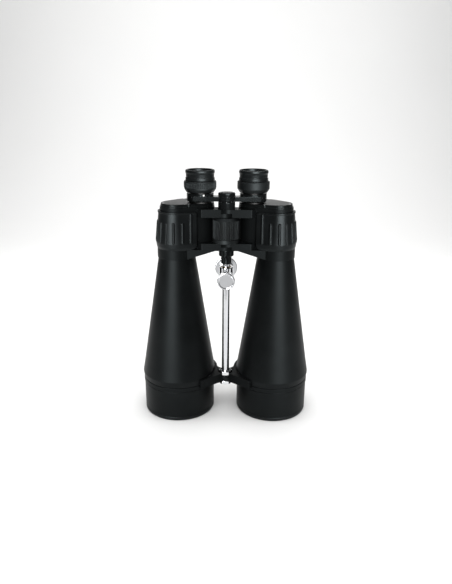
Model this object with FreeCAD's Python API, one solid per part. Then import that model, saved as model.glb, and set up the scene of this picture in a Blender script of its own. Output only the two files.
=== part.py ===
import FreeCAD, Part
import math
import os

from FreeCAD import Vector

# Large astronomy binoculars, standing on the objective rims with the eyepieces up. Millimetres.
# Z is up, the user's top side faces -Y, the right half lies at -X and the left half at +X.
# The origin is on the ground, midway between the two objective axes.

# ---- driving dimensions -------------------------------------------------------------------------
# Axes
OBJECTIVE_X = 63.2        # each objective axis, measured from the hinge plane
HINGE_Y = -10.0           # hinge, focus and rod axis
EYE_X = 33.1              # each eyepiece axis
EYE_Y = 5.0

# Clearances
RUN = 0.05                # radial clearance of a running fit
GAP = 0.3                 # space between pieces that move past each other

# Objective end
RIM_HEIGHT = 5.0
BELL_RADIUS = 47.3
BELL_LENGTH = 43.0        # from the rim to the barrel seam
BELL_COLLAR_HEIGHT = 6.0
MOUTH_RADIUS = 43.5
LENS_RADIUS = 40.0
LENS_SETBACK = 13.0       # rim face to the edge of the front lens
CROWN_EDGE = 4.0
CROWN_BULGE = 4.5
CONTACT_BULGE = 5.4       # curve shared by the crown and flint lenses
FLINT_HOLLOW = 0.9
FLINT_EDGE = 9.0

# Barrel
BARREL_LENGTH = 166.0
BARREL_TOP_RADIUS = 23.6
BARREL_FOOT_RADIUS = 45.9   # where the cone starts to flare into the ridge
BARREL_WALL = 2.0
FLARE_HEIGHT = 24.0       # barrel seam to the start of the flare
RIDGE_HEIGHT = 7.8        # barrel seam to the ridge
RIDGE_STAND = 1.4         # ridge above the bell's radius
SPIGOT_LENGTH = 8.0

# Prism housing
COLLAR_HEIGHT = 12.0
COLLAR_RADIUS = 24.6
HOUSING_HEIGHT = 51.5
HOUSING_WALL = 2.0
OUTER_LOBE = 20.3         # plan radius round the objective axis
BELLY_LOBE = 22.0         # plan radius of the bulge that holds the prisms
EYE_LOBE = 18.0           # plan radius round the eyepiece axis
COVER_HEIGHT = 5.0
COVER_PLATE = 2.0
COVER_STEP = 1.8
COVER_EDGE = 1.0          # rounding of the cover's top edge
COVER_SCREW_RADIUS = 1.1
POST_RADIUS = 2.6         # screw posts inside the housing

# Prisms
PRISM_WIDTH = 17.2
PRISM_BEVEL = 1.5
SHELF_HEIGHT = 25.0       # housing floor to the underside of the shelf
SHELF_PLATE = 2.0
APERTURE_RADIUS = 8.0

# Armour
ARMOUR_TOP_DROP = 4.5     # below the housing's top edge
ARMOUR_BULGE_HEIGHT = 8.0
ARMOUR_INNER_X = 36.7
ARMOUR_CORNER = 7.0
ARMOUR_TOP_SKIN = 2.0
ARMOUR_BULGE_SKIN = 5.6
ARMOUR_FOOT_SKIN = 4.2
ARMOUR_SPREAD = (1.0, 0.8, 0.45)  # share of the skin at the outer, belly and eyepiece lobes
ARMOUR_BEAD = 2.0
ARMOUR_BEAD_STAND = 0.7
RIB_RADIUS = 1.8
RIB_STAND = 1.2           # rib above the armour's face
LONG_RIB_X = 43.6
LONG_RIB_LENGTH = 38.0
SHORT_RIB_LENGTH = 27.0
SHORT_RIB_X = 53.6
SIDE_RIBS = 7             # short ribs round the outer side
FIRST_RIB_ANGLE = -86.0   # degrees from the outward direction
RIB_PITCH = 22.0
RIB_FOOT = 8.0            # housing floor to the ribs' lower ends

# Hinge
KNUCKLE_RADIUS = 11.0
ARM_DEPTH = 20.0
ARM_REACH = 36.4          # hinge plane to the outer end of the arms
LOWER_ARM_HEIGHT = 9.0
UPPER_ARM_HEIGHT = 10.0
GUSSET_START = 14.0       # hinge plane to the inner end of the gussets
GUSSET_THICKNESS = 6.0
UPPER_ARM_DROP = 0.5      # below the housing's top edge
AXLE_RADIUS = 7.0
CAP_NUT_HEIGHT = 8.5
KNUCKLE_CLEAR = 0.8       # between a knuckle and the other half's arm
COLUMN_RADIUS = 10.5
SOCKET_RADIUS = 9.6
SOCKET_HEAD = 7.2
SOCKET_NOSE_RADIUS = 6.75
SOCKET_NOSE = 11.0

# Focusing
FOCUS_TRAVEL = 10.0
WHEEL_RADIUS = 17.2
WHEEL_RIBS = 44
WHEEL_BAND = 5.0
WHEEL_CHAMFER = 3.2
SPINDLE_RADIUS = 5.0
SPINDLE_HEAD_RADIUS = 6.0
DRIVE_PIN_RADIUS = 1.25
DRIVE_PIN_REACH = 8.6
CAP_HEIGHT = 5.7
EYE_ARM_HEIGHT = 5.6
EYE_ARM_WIDTH = 10.0
EYE_ARM_FRONT = 2.4       # flat front of the arm ahead of the neck

# Eyepieces
TUBE_RADIUS = 14.0
TUBE_WALL = 1.5
NECK_WALL = 2.9           # clamping ring over the tube
NECK_HEIGHT = 10.0
TUBE_DIP = 12.5           # tube below the cover's top face at rest
BODY_STAND = 6.2          # shell over the tube
BODY_FOOT_STAND = 3.4     # shell's foot over the tube
BODY_HEIGHT = 13.4
BODY_STANDOFF = 1.4       # leaves the dioptre ring room to screw down
BODY_RIBS = 58
CUP_WALL = 3.7
CUP_HEIGHT = 13.0
CUP_BORE_STAND = 0.6      # eyecup's bore over the tube
CELL_WALL = 1.85

# Rod, front bridge and tripod carriage
ROD_RADIUS = 5.0
ROD_TAIL = 10.0           # rod below the barrel seam
NUT_FLATS = 15.8
NUT_HEIGHT = 5.0
NUT_CHAMFER = 0.9
HUB_RADIUS = 8.2
WEB_HEIGHT = 12.0
WEB_DROP = 4.0            # web below the barrel seam
HUB_HEIGHT = 8.4
PAD_THICKNESS = 3.3
PAD_FRONT_ANGLE = 52.0    # pad's span round the barrel, from the line between the barrels
PAD_BACK_ANGLE = 37.6
CARRIAGE_HEIGHT = 20.0
CARRIAGE_DROP = 4.0       # below the rod socket
BUSH_WALL = 1.5
CARRIAGE_WALL = 2.5
CARRIAGE_TRAVEL = 115.0
FOOT_RADIUS = 14.65
FOOT_REACH = 33.0         # rod axis to the foot's face
FOOT_THICKNESS = 5.0
FOOT_POST_RADIUS = 7.5
TRIPOD_HOLE_RADIUS = 2.6
TRIPOD_HOLE_DEPTH = 7.2
KNOB_RADIUS = 11.1
KNOB_THICKNESS = 9.0
KNOB_REACH = 34.0
KNOB_RIBS = 48
LOCK_SCREW_RADIUS = 3.0
BOSS_RADIUS = 5.5

# ---- heights that follow ------------------------------------------------------------------------
SEAM_Z = RIM_HEIGHT + BELL_LENGTH
BARREL_TOP_Z = SEAM_Z + BARREL_LENGTH
FLOOR_Z = BARREL_TOP_Z + COLLAR_HEIGHT
HOUSING_TOP_Z = FLOOR_Z + HOUSING_HEIGHT
COVER_TOP_Z = HOUSING_TOP_Z + COVER_HEIGHT
LOWER_ARM_Z = FLOOR_Z - 0.5
WHEEL_FOOT_Z = LOWER_ARM_Z + LOWER_ARM_HEIGHT + 1.5 * GAP
UPPER_ARM_TOP_Z = HOUSING_TOP_Z - UPPER_ARM_DROP
UPPER_ARM_Z = UPPER_ARM_TOP_Z - UPPER_ARM_HEIGHT
WHEEL_TOP_Z = UPPER_ARM_Z - 1.5 * GAP
CAP_NUT_TOP_Z = UPPER_ARM_TOP_Z + CAP_NUT_HEIGHT
EYE_ARM_Z = CAP_NUT_TOP_Z + 2 * GAP
EYE_ARM_TOP_Z = EYE_ARM_Z + EYE_ARM_HEIGHT
NECK_Z = COVER_TOP_Z + 5 * GAP
NECK_TOP_Z = NECK_Z + NECK_HEIGHT
BODY_Z = NECK_TOP_Z + BODY_STANDOFF
BODY_TOP_Z = BODY_Z + BODY_HEIGHT
CUP_Z = BODY_TOP_Z + 0.6
CUP_TOP_Z = CUP_Z + CUP_HEIGHT
TUBE_Z = COVER_TOP_Z - TUBE_DIP
SHELF_Z = FLOOR_Z + SHELF_HEIGHT
SOCKET_TOP_Z = LOWER_ARM_Z - GAP
SOCKET_HEAD_Z = SOCKET_TOP_Z - SOCKET_HEAD
SOCKET_Z = SOCKET_HEAD_Z - SOCKET_NOSE
CARRIAGE_TOP_Z = SOCKET_Z - CARRIAGE_DROP
CARRIAGE_Z = CARRIAGE_TOP_Z - CARRIAGE_HEIGHT / 2
WEB_Z = SEAM_Z - WEB_DROP
HUB_Z = WEB_Z - 0.5
HUB_TOP_Z = HUB_Z + HUB_HEIGHT
ROD_Z = SEAM_Z - ROD_TAIL

# ---- places that follow -------------------------------------------------------------------------
BARREL_PAD_RADIUS = BELL_RADIUS + RIDGE_STAND + 0.05
BUSH_RADIUS = ROD_RADIUS + RUN + BUSH_WALL
SLEEVE_RADIUS = BUSH_RADIUS + RUN + CARRIAGE_WALL
TUBE_BORE = TUBE_RADIUS - TUBE_WALL
NECK_RADIUS = TUBE_RADIUS + NECK_WALL
BODY_RADIUS = TUBE_RADIUS + BODY_STAND
BODY_FOOT_RADIUS = TUBE_RADIUS + BODY_FOOT_STAND
CUP_BORE = TUBE_RADIUS + CUP_BORE_STAND
CUP_RADIUS = CUP_BORE + CUP_WALL
CELL_RADIUS = TUBE_BORE - RUN
EYE_LENS_RADIUS = CELL_RADIUS - CELL_WALL
MID_X = (OBJECTIVE_X + EYE_X) / 2
MID_Y = EYE_Y / 2
# The light crosses from the first prism to the second at the corner of a right-angled isosceles
# triangle whose long side joins the two axes.
FOLD_X = MID_X + EYE_Y / 2
FOLD_Y = MID_Y + (OBJECTIVE_X - EYE_X) / 2
BELLY_X = MID_X + 0.63 * (FOLD_X - MID_X)
BELLY_Y = MID_Y + 0.63 * (FOLD_Y - MID_Y)


# ---- general shapes -----------------------------------------------------------------------------
def disc(radius, low, high, x=0.0, y=0.0):
    """Upright cylinder between two heights."""
    return Part.makeCylinder(radius, high - low, Vector(x, y, low))


def tube(outer, inner, low, high, x=0.0, y=0.0):
    """Upright tube between two heights."""
    return disc(outer, low, high, x, y).cut(disc(inner, low - 1, high + 1, x, y))


def hinge_disc(radius, low, high):
    """Upright cylinder on the hinge axis."""
    return disc(radius, low, high, 0, HINGE_Y)


def outline(corners, place):
    """Face of a closed outline of (u, v, corner radius); place turns (u, v) into a point."""
    count = len(corners)
    stretches = []
    for index in range(count):
        u, v, radius = corners[index]
        before = corners[index - 1]
        after = corners[(index + 1) % count]
        corner = Vector(u, v, 0)
        back = (Vector(before[0], before[1], 0) - corner).normalize()
        ahead = (Vector(after[0], after[1], 0) - corner).normalize()
        if radius == 0:
            stretches.append((corner, None, corner))
            continue
        half_angle = back.getAngle(ahead) / 2
        reach = radius / math.tan(half_angle)
        inward = (back + ahead).normalize()
        centre = corner + inward * (radius / math.sin(half_angle))
        stretches.append((corner + back * reach, centre - inward * radius, corner + ahead * reach))
    edges = []
    for index in range(count):
        start, middle, end = stretches[index]
        following = stretches[(index + 1) % count][0]
        if middle is not None:
            points = [place(point.x, point.y) for point in (start, middle, end)]
            edges.append(Part.Arc(*points).toShape())
        if (following - end).Length > 1e-6:
            edges.append(Part.LineSegment(place(end.x, end.y), place(following.x, following.y)).toShape())
    return Part.Face(Part.Wire(edges))


def lathe(corners, x=0.0, y=0.0):
    """Solid turned about an upright axis from corners of (radius, height[, corner radius])."""
    full = [corner if len(corner) == 3 else (corner[0], corner[1], 0) for corner in corners]
    face = outline(full, lambda u, v: Vector(x + u, y, v))
    return face.revolve(Vector(x, y, 0), Vector(0, 0, 1), 360)


def plate(corners, low, high):
    """Upright prism over a plan outline of (x, y[, corner radius])."""
    full = [corner if len(corner) == 3 else (corner[0], corner[1], 0) for corner in corners]
    return outline(full, lambda u, v: Vector(u, v, low)).extrude(Vector(0, 0, high - low))


def toothed(root, tip, count, low, high, x=0.0, y=0.0):
    """Upright disc with small trapezoid ribs all round."""
    points = []
    for tooth in range(count):
        for part, radius in ((0.0, root), (0.2, tip), (0.6, tip), (0.8, root)):
            angle = 2 * math.pi * (tooth + part) / count
            points.append(Vector(x + radius * math.cos(angle), y + radius * math.sin(angle), low))
    points.append(points[0])
    return Part.Face(Part.makePolygon(points)).extrude(Vector(0, 0, high - low))


def tangent_normal(first, second):
    """Outward direction of the line that touches two plan circles on the right-hand side."""
    along = Vector(second[0] - first[0], second[1] - first[1], 0)
    share = (first[2] - second[2]) / along.Length
    along.normalize()
    right = Vector(along.y, -along.x, 0)
    return along * share + right * math.sqrt(1 - share * share)


def lobes(circles, height):
    """Closed wire drawn tight round circles of (x, y, radius), given anticlockwise."""
    count = len(circles)
    normals = [tangent_normal(circles[index], circles[(index + 1) % count]) for index in range(count)]
    edges = []
    for index in range(count):
        x, y, radius = circles[index]
        centre = Vector(x, y, height)
        turn_in = normals[index - 1]
        turn_out = normals[index]
        first = math.atan2(turn_in.y, turn_in.x)
        last = math.atan2(turn_out.y, turn_out.x)
        while last < first:
            last += 2 * math.pi
        middle = Vector(math.cos((first + last) / 2), math.sin((first + last) / 2), 0)
        arc_end = centre + turn_out * radius
        edges.append(Part.Arc(centre + turn_in * radius, centre + middle * radius, arc_end).toShape())
        x_next, y_next, radius_next = circles[(index + 1) % count]
        line_end = Vector(x_next, y_next, height) + turn_out * radius_next
        edges.append(Part.LineSegment(arc_end, line_end).toShape())
    return Part.Wire(edges)


def lobe_prism(circles, low, high):
    """Upright prism over the lobed outline."""
    return Part.Face(lobes(circles, low)).extrude(Vector(0, 0, high - low))


def lobe_loft(sections):
    """Solid through lobed outlines, given as (circles, height) from the bottom up."""
    return Part.makeLoft([lobes(circles, height) for circles, height in sections], True, True)


def edges_at(shape, height):
    """Edges that lie flat at one height."""
    boxes = [(edge, edge.BoundBox) for edge in shape.Edges]
    return [edge for edge, box in boxes if max(height - box.ZMin, box.ZMax - height) < 0.01]


def housing_plan(outer, belly, eye):
    """The housing's three plan circles, each grown by its own amount."""
    return [
        (OBJECTIVE_X, 0.0, OUTER_LOBE + outer),
        (BELLY_X, BELLY_Y, BELLY_LOBE + belly),
        (EYE_X, EYE_Y, EYE_LOBE + eye),
    ]


def mirrored(shape):
    """The same piece on the other side of the hinge plane."""
    return shape.mirror(Vector(0, 0, 0), Vector(1, 0, 0))


def lens(radius, low, high, low_bulge, high_bulge, x, y):
    """Lens with edge heights low and high; a bulge is positive outwards."""
    def face_arc(edge_height, bulge):
        sphere = (radius ** 2 + bulge ** 2) / (2 * abs(bulge))
        drop = sphere - math.sqrt(sphere ** 2 - radius ** 2 / 4)
        return edge_height + math.copysign(abs(bulge) - drop, bulge)

    def place(u, v):
        return Vector(x + u, y, v)

    bottom_mid = 2 * low - face_arc(low, low_bulge)
    bottom = Part.Arc(place(0, low - low_bulge), place(radius / 2, bottom_mid), place(radius, low))
    top_mid = face_arc(high, high_bulge)
    top = Part.Arc(place(radius, high), place(radius / 2, top_mid), place(0, high + high_bulge))
    rim = Part.LineSegment(place(radius, low), place(radius, high))
    core = Part.LineSegment(place(0, high + high_bulge), place(0, low - low_bulge))
    face = Part.Face(Part.Wire([bottom.toShape(), rim.toShape(), top.toShape(), core.toShape()]))
    return face.revolve(Vector(x, y, 0), Vector(0, 0, 1), 360)


# ---- objective end ------------------------------------------------------------------------------
def objective_rim():
    """Ring that the binoculars stand on."""
    corners = [
        (MOUTH_RADIUS, 0, 1.0),
        (BELL_RADIUS, 0, 1.8),
        (BELL_RADIUS, RIM_HEIGHT - 0.6, 0.3),
        (BELL_RADIUS - 0.6, RIM_HEIGHT, 0),
        (MOUTH_RADIUS, RIM_HEIGHT, 0),
    ]
    return lathe(corners, OBJECTIVE_X)


def lens_seat_z():
    """Height of the ledge that the flint lens rests against."""
    return LENS_SETBACK + RIM_HEIGHT + CROWN_EDGE + FLINT_EDGE


def objective_bell():
    """Lens cell: mouth, lens pocket, ledge, collar and the spigot inside the barrel."""
    pocket = LENS_RADIUS + RUN
    seat = lens_seat_z()
    spigot = BELL_RADIUS - 2.4
    collar_z = SEAM_Z - BELL_COLLAR_HEIGHT
    collar = BELL_RADIUS + 0.6
    corners = [
        (MOUTH_RADIUS, RIM_HEIGHT),
        (BELL_RADIUS - 0.6, RIM_HEIGHT),
        (BELL_RADIUS, RIM_HEIGHT + 0.6, 0.3),
        (BELL_RADIUS, collar_z - 0.8, 0.3),
        (BELL_RADIUS - 0.5, collar_z - 0.4),
        (BELL_RADIUS - 0.5, collar_z),
        (collar - 0.5, collar_z),
        (collar, collar_z + 0.5),
        (collar, SEAM_Z - 0.5),
        (collar - 0.5, SEAM_Z),
        (spigot, SEAM_Z),
        (spigot, SEAM_Z + SPIGOT_LENGTH),
        (spigot - BARREL_WALL, SEAM_Z + SPIGOT_LENGTH),
        (spigot - BARREL_WALL, seat + 4.0),
        (LENS_RADIUS - 1.5, seat + 2.0),
        (LENS_RADIUS - 1.5, seat),
        (pocket, seat),
        (pocket, RIM_HEIGHT + 9.0),
        (MOUTH_RADIUS, RIM_HEIGHT + 8.0),
    ]
    return lathe(corners, OBJECTIVE_X)


def lens_retaining_ring():
    """Ring that holds the two objective lenses against the ledge."""
    top = LENS_SETBACK + RIM_HEIGHT
    return lathe([
        (LENS_RADIUS - 2.6, top - 2.6),
        (LENS_RADIUS - 1.6, top - 3.6),
        (LENS_RADIUS, top - 3.6),
        (LENS_RADIUS, top),
        (LENS_RADIUS - 2.6, top - 0.16 * CROWN_BULGE),
    ], OBJECTIVE_X)


def objective_crown():
    """Front objective lens, bulging both ways."""
    low = LENS_SETBACK + RIM_HEIGHT
    return lens(LENS_RADIUS, low, low + CROWN_EDGE, CROWN_BULGE, CONTACT_BULGE, OBJECTIVE_X, 0)


def objective_flint():
    """Rear objective lens, hollow towards the crown lens."""
    low = LENS_SETBACK + RIM_HEIGHT + CROWN_EDGE
    return lens(LENS_RADIUS, low + 0.02, low + FLINT_EDGE, -CONTACT_BULGE, -FLINT_HOLLOW, OBJECTIVE_X, 0)


def objective_barrel():
    """Straight cone with a ridge at its foot and a spigot into the housing collar."""
    ridge = BELL_RADIUS + RIDGE_STAND
    flare_z = SEAM_Z + FLARE_HEIGHT
    spigot = COLLAR_RADIUS - BARREL_WALL - RUN
    corners = [
        (BELL_RADIUS - 0.1, SEAM_Z),
        (BELL_RADIUS + 0.4, SEAM_Z + 0.5),
        (ridge, SEAM_Z + RIDGE_HEIGHT, 3.0),
        (BARREL_FOOT_RADIUS, flare_z, 0.5 * FLARE_HEIGHT),
        (BARREL_TOP_RADIUS, BARREL_TOP_Z),
        (spigot, BARREL_TOP_Z),
        (spigot, BARREL_TOP_Z + SPIGOT_LENGTH),
        (spigot - BARREL_WALL, BARREL_TOP_Z + SPIGOT_LENGTH),
        (spigot - BARREL_WALL, BARREL_TOP_Z - 2.0),
        (BARREL_FOOT_RADIUS - BARREL_WALL, flare_z),
        (BELL_RADIUS - 2.4, SEAM_Z + SPIGOT_LENGTH),
        (BELL_RADIUS - 2.4, SEAM_Z),
    ]
    return lathe(corners, OBJECTIVE_X)


# ---- hinge arms ---------------------------------------------------------------------------------
def half_lapped(bar, low, high, knuckle_radius, bore, takes_top):
    """Arm whose end is halved in height into a knuckle round the hinge axis."""
    middle = (low + high) / 2
    knuckle_low = middle + GAP / 2 if takes_top else low
    knuckle_high = high if takes_top else middle - GAP / 2
    clear = hinge_disc(knuckle_radius + KNUCKLE_CLEAR, low - 1, high + 1)
    slab = Part.makeBox(400, 400, knuckle_high - knuckle_low, Vector(-200, -200, knuckle_low))
    knuckle = hinge_disc(knuckle_radius, knuckle_low, knuckle_high)
    arm = bar.cut(clear).fuse([bar.common(slab), knuckle])
    return arm.cut(hinge_disc(bore, low - 1, high + 1))


def hinge_bar(low, high):
    """Flat bar from the hinge axis to the housing."""
    front = HINGE_Y - ARM_DEPTH / 2
    back = HINGE_Y + ARM_DEPTH / 2
    corners = [
        (0, front),
        (ARM_REACH - 5.5, front, 2.5),
        (ARM_REACH, front + 6.0),
        (ARM_REACH, back),
        (0, back),
    ]
    return plate(corners, low, high)


def hinge_gusset():
    """Sloping web from the underside of the lower hinge arm to the foot of the collar."""
    front = HINGE_Y - ARM_DEPTH / 2
    meet_x = OBJECTIVE_X - math.sqrt(COLLAR_RADIUS ** 2 - front ** 2)
    foot_z = BARREL_TOP_Z + GAP
    corners = [
        (GUSSET_START, LOWER_ARM_Z, 0),
        (meet_x, foot_z, 0),
        (meet_x + 4.0, foot_z, 0),
        (meet_x + 4.0, LOWER_ARM_Z + 1.0, 0),
        (GUSSET_START, LOWER_ARM_Z + 1.0, 0),
    ]
    return outline(corners, lambda u, v: Vector(u, front, v)).extrude(Vector(0, GUSSET_THICKNESS, 0))


# ---- prism housing ------------------------------------------------------------------------------
def cover_screw_places():
    """Plan places of the cover's screws, just inside the housing wall."""
    inset = HOUSING_WALL + POST_RADIUS - 0.6
    spots = []
    for x, y, radius, angle in (
        (OBJECTIVE_X, 0.0, OUTER_LOBE, -25),
        (BELLY_X, BELLY_Y, BELLY_LOBE, 72),
        (MID_X, MID_Y - 1.0, (OUTER_LOBE + EYE_LOBE) / 2, -99),
    ):
        reach = radius - inset
        spots.append((x + reach * math.cos(math.radians(angle)), y + reach * math.sin(math.radians(angle))))
    return spots


def tube_room():
    """Space that the eyepiece tube needs inside the housing."""
    return disc(TUBE_RADIUS + GAP, TUBE_Z - GAP, HOUSING_TOP_Z + 1, EYE_X, EYE_Y)


def prism_housing(takes_top):
    """Hollow housing with its floor, barrel collar, sloping underside and hinge arms."""
    wall = -HOUSING_WALL
    body = lobe_prism(housing_plan(0, 0, 0), FLOOR_Z, HOUSING_TOP_Z)
    collar_plan = [
        (OBJECTIVE_X, 0.0, COLLAR_RADIUS),
        (BELLY_X, BELLY_Y, BELLY_LOBE),
        (EYE_X, EYE_Y, EYE_LOBE),
    ]
    slope_z = BARREL_TOP_Z + 0.3 * COLLAR_HEIGHT
    slope_plan = [
        (OBJECTIVE_X, 0.0, COLLAR_RADIUS),
        (OBJECTIVE_X - 0.54 * COLLAR_RADIUS, 0.33 * COLLAR_RADIUS, 0.57 * COLLAR_RADIUS),
        (OBJECTIVE_X - 0.70 * COLLAR_RADIUS, 0.12 * COLLAR_RADIUS, 0.41 * COLLAR_RADIUS),
    ]
    underside = lobe_loft([(slope_plan, slope_z), (collar_plan, FLOOR_Z)])
    collar = disc(COLLAR_RADIUS, BARREL_TOP_Z, FLOOR_Z, OBJECTIVE_X)
    lower_bar = hinge_bar(LOWER_ARM_Z, LOWER_ARM_Z + LOWER_ARM_HEIGHT)
    upper_bar = hinge_bar(UPPER_ARM_Z, UPPER_ARM_TOP_Z)
    bore = AXLE_RADIUS if takes_top else AXLE_RADIUS + RUN
    lower_top = LOWER_ARM_Z + LOWER_ARM_HEIGHT
    lower_arm = half_lapped(lower_bar, LOWER_ARM_Z, lower_top, KNUCKLE_RADIUS, bore, takes_top)
    upper_arm = half_lapped(upper_bar, UPPER_ARM_Z, UPPER_ARM_TOP_Z, KNUCKLE_RADIUS, bore, takes_top)
    housing = body.fuse([underside, collar, lower_arm, upper_arm, hinge_gusset()])
    cavity = lobe_prism(housing_plan(wall, wall, wall), FLOOR_Z + HOUSING_WALL, HOUSING_TOP_Z + 1)
    spigot = COLLAR_RADIUS - BARREL_WALL
    barrel_seat = disc(spigot, BARREL_TOP_Z - 1, BARREL_TOP_Z + SPIGOT_LENGTH, OBJECTIVE_X)
    light_way = disc(2 * APERTURE_RADIUS, BARREL_TOP_Z, FLOOR_Z + HOUSING_WALL + 1, OBJECTIVE_X)
    housing = housing.cut(cavity).cut(barrel_seat).cut(light_way).cut(tube_room())
    posts = []
    holes = []
    for x, y in cover_screw_places():
        posts.append(disc(POST_RADIUS, HOUSING_TOP_Z - 14, HOUSING_TOP_Z, x, y))
        holes.append(disc(COVER_SCREW_RADIUS, HOUSING_TOP_Z - 9, HOUSING_TOP_Z + 1, x, y))
    return housing.fuse(posts).cut(Part.makeCompound(holes)).removeSplitter()


def prism_cover():
    """Lid of the prism housing, stepped at its edge, with the eyepiece tube's bore."""
    lid = lobe_prism(housing_plan(-0.4, -0.4, -0.2), HOUSING_TOP_Z, HOUSING_TOP_Z + COVER_STEP)
    crown = lobe_prism(housing_plan(-1.4, -1.4, -0.5), HOUSING_TOP_Z + COVER_STEP, COVER_TOP_Z)
    cover = lid.fuse(crown.makeFillet(COVER_EDGE, edges_at(crown, COVER_TOP_Z)))
    recess = lobe_prism(housing_plan(-4.6, -4.6, -2.6), HOUSING_TOP_Z - 1, COVER_TOP_Z - COVER_PLATE)
    pads = [disc(POST_RADIUS, HOUSING_TOP_Z, COVER_TOP_Z, x, y) for x, y in cover_screw_places()]
    cover = cover.cut(recess).fuse(pads)
    tube_boss = disc(TUBE_RADIUS + 2.0, HOUSING_TOP_Z, COVER_TOP_Z - COVER_PLATE, EYE_X, EYE_Y)
    cover = cover.fuse(tube_boss).cut(disc(TUBE_RADIUS + RUN, 0, COVER_TOP_Z + 1, EYE_X, EYE_Y))
    for x, y in cover_screw_places():
        cover = cover.cut(disc(COVER_SCREW_RADIUS, HOUSING_TOP_Z - 1, COVER_TOP_Z + 1, x, y))
        cover = cover.cut(disc(2.1, COVER_TOP_Z - 1.3, COVER_TOP_Z + 1, x, y))
    return cover.removeSplitter()


def cover_screws():
    """Three cheese-head screws sunk into the cover."""
    screws = []
    for x, y in cover_screw_places():
        head = lathe([
            (0, COVER_TOP_Z - 1.3),
            (2.0, COVER_TOP_Z - 1.3),
            (2.0, COVER_TOP_Z + 0.1, 0.3),
            (0, COVER_TOP_Z + 0.1),
        ], x, y)
        slot = Part.makeBox(5, 0.6, 1, Vector(x - 2.5, y - 0.3, COVER_TOP_Z - 0.5))
        shank = disc(COVER_SCREW_RADIUS, HOUSING_TOP_Z - 8, COVER_TOP_Z - 1.3, x, y)
        screws.append(head.cut(slot).fuse(shank).removeSplitter())
    return Part.makeCompound(screws)


def prism_shelf():
    """Plate across the housing that carries both prisms, with three round windows."""
    inset = -HOUSING_WALL - 0.1
    shelf = lobe_prism(housing_plan(inset, inset, inset), SHELF_Z, SHELF_Z + SHELF_PLATE)
    for x, y in ((OBJECTIVE_X, 0), (FOLD_X, FOLD_Y), (EYE_X, EYE_Y)):
        shelf = shelf.cut(disc(APERTURE_RADIUS, SHELF_Z - 1, SHELF_Z + SHELF_PLATE + 1, x, y))
    for x, y in cover_screw_places():
        shelf = shelf.cut(disc(POST_RADIUS + GAP, SHELF_Z - 1, SHELF_Z + SHELF_PLATE + 1, x, y))
    return shelf


def porro_prism(x0, y0, x1, y1, base_z, upwards):
    """Right-angle prism whose long face lies at base_z and spans two light axes."""
    along = Vector(x1 - x0, y1 - y0, 0)
    half_length = along.Length / 2 + PRISM_WIDTH / 2
    along.normalize()
    across = Vector(-along.y, along.x, 0)
    middle = Vector((x0 + x1) / 2, (y0 + y1) / 2, base_z) - across * (PRISM_WIDTH / 2)
    up = Vector(0, 0, 1 if upwards else -1)
    section = [
        (-half_length, 0),
        (half_length, 0),
        (half_length, PRISM_BEVEL),
        (PRISM_BEVEL, half_length),
        (-PRISM_BEVEL, half_length),
        (-half_length, PRISM_BEVEL),
    ]
    points = [middle + along * u + up * v for u, v in section]
    points.append(points[0])
    return Part.Face(Part.makePolygon(points)).extrude(across * PRISM_WIDTH)


def prism_a():
    """First prism, above the shelf, from the objective axis to the crossing axis."""
    return porro_prism(OBJECTIVE_X, 0, FOLD_X, FOLD_Y, SHELF_Z + SHELF_PLATE, True).cut(tube_room())


def prism_b():
    """Second prism, below the shelf, from the crossing axis to the eyepiece axis."""
    return porro_prism(FOLD_X, FOLD_Y, EYE_X, EYE_Y, SHELF_Z, False)


# ---- armour -------------------------------------------------------------------------------------
def armour_levels():
    """Outlines of the armour's outer face from its foot up."""
    bulge_z = FLOOR_Z + ARMOUR_BULGE_HEIGHT
    top_z = HOUSING_TOP_Z - ARMOUR_TOP_DROP
    foot = [part * ARMOUR_FOOT_SKIN for part in ARMOUR_SPREAD]
    swell = [part * (ARMOUR_BULGE_SKIN - 0.5) for part in ARMOUR_SPREAD]
    thin = ARMOUR_TOP_SKIN
    return [
        (housing_plan(*foot), FLOOR_Z),
        (housing_plan(*swell), FLOOR_Z + 0.4 * ARMOUR_BULGE_HEIGHT),
        (armour_plan(bulge_z), bulge_z),
        (housing_plan(thin, thin, thin), top_z - ARMOUR_BEAD),
        (housing_plan(thin, thin, thin), top_z),
    ]


def armour_plan(height):
    """Plan circles of the armour's outer face between its bulge and its top."""
    bulge_z = FLOOR_Z + ARMOUR_BULGE_HEIGHT
    top_z = HOUSING_TOP_Z - ARMOUR_TOP_DROP - ARMOUR_BEAD
    share = (height - bulge_z) / (top_z - bulge_z)
    thin = ARMOUR_TOP_SKIN
    skins = [(1 - share) * part * ARMOUR_BULGE_SKIN + share * thin for part in ARMOUR_SPREAD]
    return housing_plan(*skins)


def front_point(x, height):
    """Point at x on the flat front of the armour, and that face's outward direction."""
    plan = armour_plan(height)
    normal = tangent_normal(plan[2], plan[0])
    centre_x, centre_y, radius = plan[0]
    y = centre_y + (radius - (x - centre_x) * normal.x) / normal.y
    return Vector(x, y, height), normal


def side_point(degrees, height):
    """Point on the armour's round outer side, and the outward direction there."""
    centre_x, centre_y, radius = armour_plan(height)[0]
    normal = Vector(math.cos(math.radians(degrees)), math.sin(math.radians(degrees)), 0)
    return Vector(centre_x, centre_y, height) + normal * radius, normal


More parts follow.
